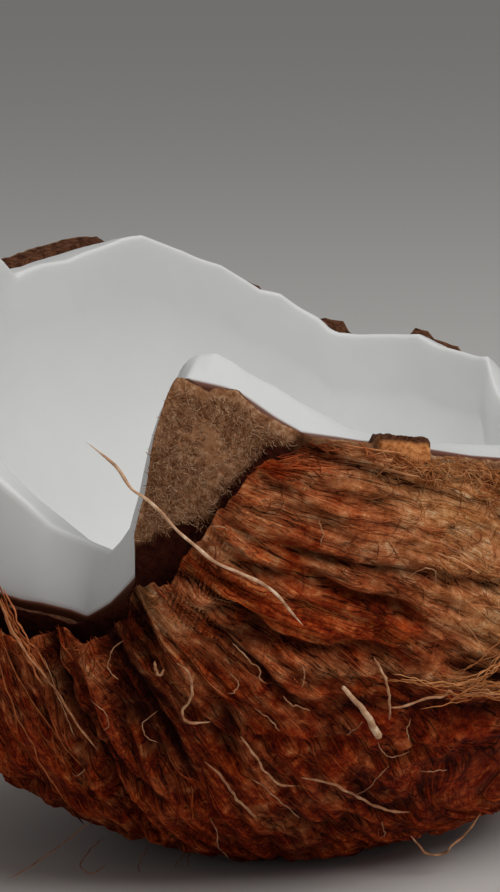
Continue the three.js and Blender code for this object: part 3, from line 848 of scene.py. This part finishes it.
# Fibres that hang under the belly, as points in space.
HANGING = [
    (0.28, [(-21, -23, 7), (-25, -24.5, 4.2), (-28, -25.5, 2.2), (-30.5, -26, 0.9)]),
    (0.26, [(-20, -21, 4.5), (-22.5, -24, 2.2), (-21, -26, 1.6), (-19.5, -25, 2.4)]),
    (0.24, [(-15, -19, 3), (-16, -22, 1.4), (-15.8, -23, 0.6)]),
    (0.22, [(-10, -16, 2), (-10.6, -19, 1), (-10, -21, 0.5)]),
    (0.22, [(-10.4, -16, 2), (-11.6, -18.5, 1), (-12, -20, 0.5)]),
]


# Points along each named fibre, and along each of the smaller ones
NAMED_SAMPLES, SMALL_SAMPLES = 60, 40


def tapered(width, samples, rng):
    """Widths along a strand: a little uneven, and thinner at both ends."""
    share = np.linspace(0, 1, samples)
    wobble = 1 + 0.13 * np.sin(share * 31 + rng.uniform(0, 6)) + 0.09 * np.sin(share * 67 + rng.uniform(0, 6))
    return width * np.clip(1.35 - 1.2 * np.abs(2 * share - 1) ** 4, 0.3, 1) * wobble


def kinked(points, size, rng):
    """The same route with small kinks, its ends left where they are."""
    share = np.linspace(0, 1, len(points))
    shift = np.zeros_like(points)
    for turns in (3, 7, 13):
        phase = rng.uniform(0, 6, 3)
        shift += np.sin(share[:, None] * turns * 3.1 + phase) * size / turns**0.6
    return points + shift * np.sin(np.pi * share)[:, None]


def make_named_fibres(rng):
    cream = loose_fibre_material("loose_fibre", (1.0, 1.0, 1.0))
    pink = loose_fibre_material("pink_fibre", (0.76, 0.58, 0.46))
    warm = loose_fibre_material("warm_fibre", (0.75, 0.5, 0.34))
    looks = {"long_fibre": cream, "fibre_stub": cream, "left_fibre": warm}
    for node, (width, route) in NAMED_FIBRES.items():
        stub = node == "fibre_stub"
        points = kinked(front_fibre(route, NAMED_SAMPLES), 0.1 if stub else 0.16, rng)
        widths = tapered(width, NAMED_SAMPLES, rng)
        if stub:
            from_root, to_tip = np.linspace(0, 1, NAMED_SAMPLES), np.linspace(1, 0, NAMED_SAMPLES)
            widths = width * np.clip(0.55 + 0.5 * from_root, 0, 1) * np.minimum(1, 8 * to_tip + 0.7)
        piece = strand_piece(node + "_fine", points[None], widths[None], 8, {}, (node,))
        piece.data.materials.append(looks.get(node, pink))


def make_small_fibres(rng):
    groups = [(front_fibre(route, SMALL_SAMPLES), width) for width, route in SMALL_FIBRES]
    groups += [(smooth_route(route, SMALL_SAMPLES), width) for width, route in HANGING]
    routes = np.stack([kinked(points, 0.14, rng) for points, _ in groups])
    widths = np.stack([tapered(0.52 * width, SMALL_SAMPLES, rng) for _, width in groups])
    piece = strand_piece("small_fibres", routes, widths, 6, {})
    piece.data.materials.append(loose_fibre_material("small_fibre", (0.62, 0.45, 0.34)))


def make_bundles(rng):
    routes, widths, pale = [], [], []
    share = np.linspace(0, 1, SMALL_SAMPLES)[:, None]
    for route, count, spread, width in BUNDLES:
        middle = front_fibre(route, SMALL_SAMPLES)
        way = middle[-1] - middle[0]
        pale += [0.9 if route[0][0] > 0 else 0.45] * count
        for _ in range(count):
            near, far = rng.normal(0, spread, (2, 3))
            near[1] = far[1] = 0.15 - 0.5 * rng.random()
            slide = rng.uniform(-1.5, 1.5) * way / np.linalg.norm(way)
            routes.append(kinked(middle + near * (1 - share) + far * share + slide, 0.3, rng))
            widths.append(tapered(width * rng.uniform(0.6, 1.2), SMALL_SAMPLES, rng))
    tone = rng.uniform(0.3, 0.85, len(routes))
    # The bundles get no painted groove shade and only a little painted light.
    values = {"groove_shade": np.zeros_like(tone), "pale": pale, "painted_light_and_mottle": np.full_like(tone, 0.15), "tone": tone}
    return strand_piece("fibre_bundles", np.stack(routes), np.stack(widths), 5, values)


# ---------------------------------------------------------------- materials

class Look:
    """A material with one Principled shader, and short ways to add nodes to it."""

    def __init__(self, name):
        self.material = bpy.data.materials.new(name)
        self.material.use_nodes = True
        self.nodes = self.material.node_tree.nodes
        self.links = self.material.node_tree.links
        self.shader = self.nodes["Principled BSDF"]

    def feed(self, socket, value):
        """Set a socket to a number or a colour, or link another node's output to it."""
        if isinstance(value, float):
            socket.default_value = value
        elif isinstance(value, tuple):
            socket.default_value = (*value, 1)
        else:
            self.links.new(value, socket)

    def value(self, name):
        """A number that the mesh holds at each point."""
        node = self.nodes.new("ShaderNodeAttribute")
        node.attribute_name = name
        return node.outputs["Fac"]

    def ramp(self, factor, stops):
        node = self.nodes.new("ShaderNodeValToRGB")
        elements = node.color_ramp.elements
        while len(elements) < len(stops):
            elements.new(0.5)
        for element, (position, colour) in zip(elements, stops):
            element.position = position
            element.color = (*colour, 1)
        self.feed(node.inputs["Fac"], factor)
        return node.outputs["Color"]

    def mix(self, factor, one, other):
        node = self.nodes.new("ShaderNodeMix")
        node.data_type = "RGBA"
        first, second = (socket for socket in node.inputs if socket.type == "RGBA")
        self.feed(node.inputs["Factor"], factor)
        self.feed(first, one)
        self.feed(second, other)
        return next(socket for socket in node.outputs if socket.type == "RGBA")

    def math(self, operation, *values):
        node = self.nodes.new("ShaderNodeMath")
        node.operation = operation
        for socket, value in zip(node.inputs, values):
            self.feed(socket, value)
        return node.outputs[0]

    def weighted_sum(self, parts, offset):
        """Sum of factors times weights, plus an offset, held between 0 and 1."""
        total = offset
        for factor, weight in parts:
            total = self.math("MULTIPLY_ADD", factor, weight, total)
        total.node.use_clamp = True
        return total

    def noise(self, scale, detail=4.0, rough=0.6, where=None):
        """Cloudy noise, in the piece's own metres unless another place is given."""
        node = self.nodes.new("ShaderNodeTexNoise")
        node.inputs["Scale"].default_value = scale
        node.inputs["Detail"].default_value = detail
        node.inputs["Roughness"].default_value = rough
        self.links.new(where or self.nodes.new("ShaderNodeTexCoord").outputs["Object"], node.inputs["Vector"])
        return node.outputs["Fac"]

    def streaks(self, across, along, detail=4.0):
        """Noise drawn out along the fibres of the mat."""
        where = self.nodes.new("ShaderNodeCombineXYZ")
        self.links.new(self.math("MULTIPLY", self.value("label"), across), where.inputs["X"])
        self.links.new(self.math("MULTIPLY", self.value("along"), along), where.inputs["Y"])
        return self.noise(1.0, detail, 0.65, where.outputs["Vector"])

    def bump(self, height, strength, distance):
        node = self.nodes.new("ShaderNodeBump")
        node.inputs["Strength"].default_value = strength
        node.inputs["Distance"].default_value = distance
        self.links.new(height, node.inputs["Height"])
        self.links.new(node.outputs["Normal"], self.shader.inputs["Normal"])

    def surface(self, colour, roughness=0.85, specular=0.05):
        self.feed(self.shader.inputs["Base Color"], colour)
        self.shader.inputs["Roughness"].default_value = roughness
        self.shader.inputs["Specular IOR Level"].default_value = specular


RED_FIBRE = [(0.0, (0.055, 0.003, 0.0008)), (0.35, (0.22, 0.018, 0.003)), (0.68, (0.46, 0.070, 0.012)),
             (1.0, (0.68, 0.21, 0.055))]
TAN_FIBRE = [(0.0, (0.19, 0.05, 0.013)), (0.38, (0.46, 0.175, 0.056)), (0.72, (0.66, 0.33, 0.145)),
             (1.0, (0.85, 0.58, 0.34))]
LOOSE_FIBRE = [(0.3, (0.26, 0.11, 0.05)), (0.5, (0.52, 0.30, 0.17)), (0.7, (0.78, 0.58, 0.41))]
SHELL_FUZZ = [(0.34, (0.09, 0.028, 0.010)), (0.44, (0.24, 0.10, 0.044)), (0.54, (0.42, 0.22, 0.115)),
              (0.68, (0.66, 0.45, 0.29))]
# Near-black of the bare facet, also used for the painted shadow above the husk's torn edge
SHELL_BARE_AND_SHADOW = [(0.36, (0.016, 0.0022, 0.001)), (0.62, (0.062, 0.012, 0.006))]
SHELL_EDGE = [(0.40, (0.035, 0.010, 0.005)), (0.62, (0.17, 0.07, 0.035))]
SHELL_FLAP = [(0.38, (0.42, 0.12, 0.03)), (0.62, (0.84, 0.36, 0.13))]
SHELL_HAIRS = [(0.0, (0.10, 0.032, 0.012)), (0.4, (0.30, 0.13, 0.06)), (0.75, (0.42, 0.23, 0.125)),
               (1.0, (0.58, 0.37, 0.23))]
FLESH_WHITE = [(0.3, (0.655, 0.66, 0.655)), (0.7, (0.695, 0.70, 0.695))]
# Colour of the painted shade in grooves, crevices and under the husk's lip
PAINTED_GROOVE_SHADE = (0.018, 0.0018, 0.0006)
SHELL_WARM = (0.30, 0.135, 0.062)
FLESH_SKIN = (0.13, 0.04, 0.02)


def fibre_colour(look, shade, pale, painted_shade):
    """Red fibres that turn tan where they are pale, mixed toward nearly black by painted shade in the grooves
    and crevices.
    """
    colour = look.mix(pale, look.ramp(shade, RED_FIBRE), look.ramp(shade, TAN_FIBRE))
    return look.mix(painted_shade, colour, PAINTED_GROOVE_SHADE)


def husk_material():
    look = Look("husk_mat_surface")
    groove_shade = look.value("groove_shade")
    fine = look.streaks(across=1.9, along=0.30)
    broad = look.streaks(across=0.45, along=0.12, detail=3.0)
    fluff = look.noise(1300.0, detail=5.0, rough=0.7)
    blotch = look.noise(190.0, detail=3.0)
    mottle = look.noise(420.0)
    # The shade takes in the painted light and mottling value.
    shade = look.weighted_sum(
        ((fine, 1.4), (broad, 0.9), (fluff, 1.3), (mottle, 0.9), (look.value("painted_light_and_mottle"), 0.36)), -1.93)
    pale = look.weighted_sum(((look.value("pale"), 1.0), (blotch, 0.9)), -0.45)
    # Thin dark lines along the fibres are painted shade between them; with the groove shade they darken the
    # colour and also dent the bump.
    from_line = look.math("SUBTRACT", look.streaks(across=0.8, along=0.10, detail=2.0), 0.5)
    line = look.weighted_sum(((look.math("ABSOLUTE", from_line), -28.0), (groove_shade, 1.1)), 0.5)
    look.surface(fibre_colour(look, shade, pale, look.math("MAXIMUM", line, groove_shade)))
    height = look.weighted_sum(((fine, 0.5), (fluff, 0.5), (line, -0.35)), 0.2)
    look.bump(height, strength=1.0, distance=0.0009)
    return look.material


def strand_material():
    look = Look("husk_strand")
    # Strands take painted light from the husk's value, and painted shade from its groove value.
    shade = look.weighted_sum(
        ((look.noise(900.0), 0.5), (look.value("tone"), 0.8), (look.value("painted_light_and_mottle"), 0.3)), -0.3)
    look.surface(fibre_colour(look, shade, look.value("pale"), look.value("groove_shade")))
    return look.material


def loose_fibre_material(name, tint):
    look = Look(name)
    stops = [(at, tuple(v * t for v, t in zip(colour, tint))) for at, colour in LOOSE_FIBRE]
    look.surface(look.ramp(look.noise(700.0, detail=5.0), stops), roughness=0.6, specular=0.3)
    look.bump(look.noise(3000.0, detail=2.0), strength=0.3, distance=0.0001)
    return look.material


def shell_material():
    look = Look("shell_surface")
    specks = look.noise(1300.0, detail=6.0, rough=0.75)
    patches = look.noise(260.0, detail=3.0)
    colour = look.mix(look.weighted_sum(((patches, 2.2),), -0.5), SHELL_WARM, look.ramp(specks, SHELL_FUZZ))
    # The bare value also holds the painted shadow above the husk's torn edge.
    for name, stops in (("flap", SHELL_FLAP), ("bare", SHELL_BARE_AND_SHADOW), ("edge", SHELL_EDGE)):
        colour = look.mix(look.value(name), colour, look.ramp(specks, stops))
    look.surface(colour, specular=0.06)
    look.bump(specks, strength=0.8, distance=0.0005)
    return look.material


def shell_fuzz_material():
    look = Look("shell_fuzz")
    look.surface(look.ramp(look.value("tone"), SHELL_HAIRS))
    return look.material


def flesh_material():
    look = Look("flesh_white")
    white = look.ramp(look.noise(60.0, detail=3.0), FLESH_WHITE)
    look.surface(look.mix(look.value("skin"), white, FLESH_SKIN), roughness=0.5, specular=0.35)
    look.shader.inputs["Subsurface Weight"].default_value = 0.2
    look.shader.inputs["Subsurface Radius"].default_value = (0.0016, 0.0014, 0.0012)
    look.shader.inputs["Subsurface Scale"].default_value = 1.0
    look.bump(look.noise(500.0, detail=5.0), strength=0.06, distance=0.0003)
    return look.material


# ---------------------------------------------------------------- stage

VIEW_ELEVATION = 9.0
VIEW_DISTANCE = 450.0
SENSOR = 36.0
LENS = 156.1
AIM = np.array([-3.5, 0.0, 45.7])


def make_camera():
    rise = math.radians(VIEW_ELEVATION)
    back = Vector((0, -math.cos(rise), math.sin(rise)))
    data = bpy.data.cameras.new("main_view")
    data.lens = LENS
    data.sensor_width = SENSOR
    data.clip_start = 0.01
    data.clip_end = 50.0
    camera = bpy.data.objects.new("main_view", data)
    camera.location = Vector(AIM * MM) + back * (VIEW_DISTANCE * MM)
    camera.rotation_mode = "QUATERNION"
    camera.rotation_quaternion = (-back).to_track_quat("-Z", "Y")
    bpy.context.scene.collection.objects.link(camera)
    bpy.context.scene.camera = camera


def make_floor():
    half = 12.0
    under = -0.00005
    mesh = bpy.data.meshes.new("floor")
    mesh.from_pydata([(-half, -half, under), (half, -half, under), (half, half, under), (-half, half, under)],
                     [], [(0, 1, 2, 3)])
    floor = bpy.data.objects.new("floor", mesh)
    bpy.context.scene.collection.objects.link(floor)
    look = Look("floor_pale")
    look.surface((0.72, 0.71, 0.69), specular=0.5)
    mesh.materials.append(look.material)


def area_light(name, position, aim, size, power, colour):
    data = bpy.data.lights.new(name, "AREA")
    data.shape = "DISK"
    data.size = size
    data.energy = power
    data.color = colour
    light = bpy.data.objects.new(name, data)
    light.location = position
    light.rotation_mode = "QUATERNION"
    light.rotation_quaternion = (Vector(aim) - Vector(position)).to_track_quat("-Z", "Y")
    bpy.context.scene.collection.objects.link(light)


def make_lights():
    world = bpy.data.worlds.new("studio")
    world.use_nodes = True
    background = world.node_tree.nodes["Background"]
    background.inputs["Color"].default_value = (1.0, 0.99, 0.97, 1)
    background.inputs["Strength"].default_value = 0.21
    bpy.context.scene.world = world
    middle = tuple(MIDDLE * MM)
    area_light("key_right", (0.34, -0.42, 0.52), middle, size=0.42, power=3.1, colour=(1.0, 0.99, 0.975))
    area_light("soft_above", (-0.10, 0.0, 0.8), middle, size=0.6, power=1.3, colour=(1, 1, 1))
    bpy.context.scene.view_settings.view_transform = "Standard"


# ---------------------------------------------------------------- putting it together

def anywhere(flat, rng):
    return np.ones(len(flat), bool)


def on_front(flat, rng):
    return (flat[:, 1] < -12) & (np.abs(flat[:, 0]) < 45)


def at_edge(flat, rng):
    return husk_rim_height(azimuth_of(flat - MIDDLE)) - flat[:, 2] < 2.2


def in_tangle(flat, rng):
    """Mostly the pale tangle at the upper right of the front, and the hollow at its left."""
    x, z = flat[:, 0], flat[:, 2]
    tangle = smoothstep(2, 16, x) * smoothstep(28, 42, z) + 0.5 * hump(x, -15, 5) * hump(z, 28, 8)
    tangle += 0.9 * hump(x, 21, 5) * hump(z, 29, 5)
    return on_front(flat, rng) & (rng.random(len(flat)) < 0.12 + tangle)


make_camera()
make_floor()
make_lights()

make_flesh().data.materials.append(flesh_material())
make_shell().data.materials.append(shell_material())
make_shell_fuzz("shell_fuzz", seed=41, count=3600).data.materials.append(shell_fuzz_material())
make_husk().data.materials.append(husk_material())

# The layers of strands over the husk, with the places that each covers
strand_look = strand_material()
for mat in (
    lay_mat("mat_long_1", seed=101, count=2000, lengths=(7, 16), widths=(0.26, 0.44), swing=4, curl=1.2,
            sunk=(-0.3, 0.0), stand=(0.02, 1.0), keep=anywhere, tones=(0.05, 0.75), points=13),
    lay_mat("mat_long_2", seed=102, count=2000, lengths=(6, 14), widths=(0.20, 0.36), swing=6, curl=1.6,
            sunk=(-0.26, 0.04), stand=(0.02, 1.0), keep=anywhere, tones=(0.1, 0.85), points=13),
    lay_mat("mat_edge", seed=106, count=2400, lengths=(2, 5), widths=(0.08, 0.18), swing=16, curl=5.0,
            sunk=(-0.15, 0.06), stand=(0.2, 1.1), keep=at_edge, tones=(0.0, 0.6), points=9),
    lay_mat("mat_tangle", seed=105, count=2400, lengths=(2, 6), widths=(0.07, 0.13), swing=18, curl=8.0,
            sunk=(-0.1, 0.06), stand=(0.07, 0.9), keep=in_tangle, tones=(0.05, 0.7), points=12),
):
    mat.data.materials.append(strand_look)

make_named_fibres(np.random.default_rng(11))
make_small_fibres(np.random.default_rng(12))
make_bundles(np.random.default_rng(13)).data.materials.append(strand_look)
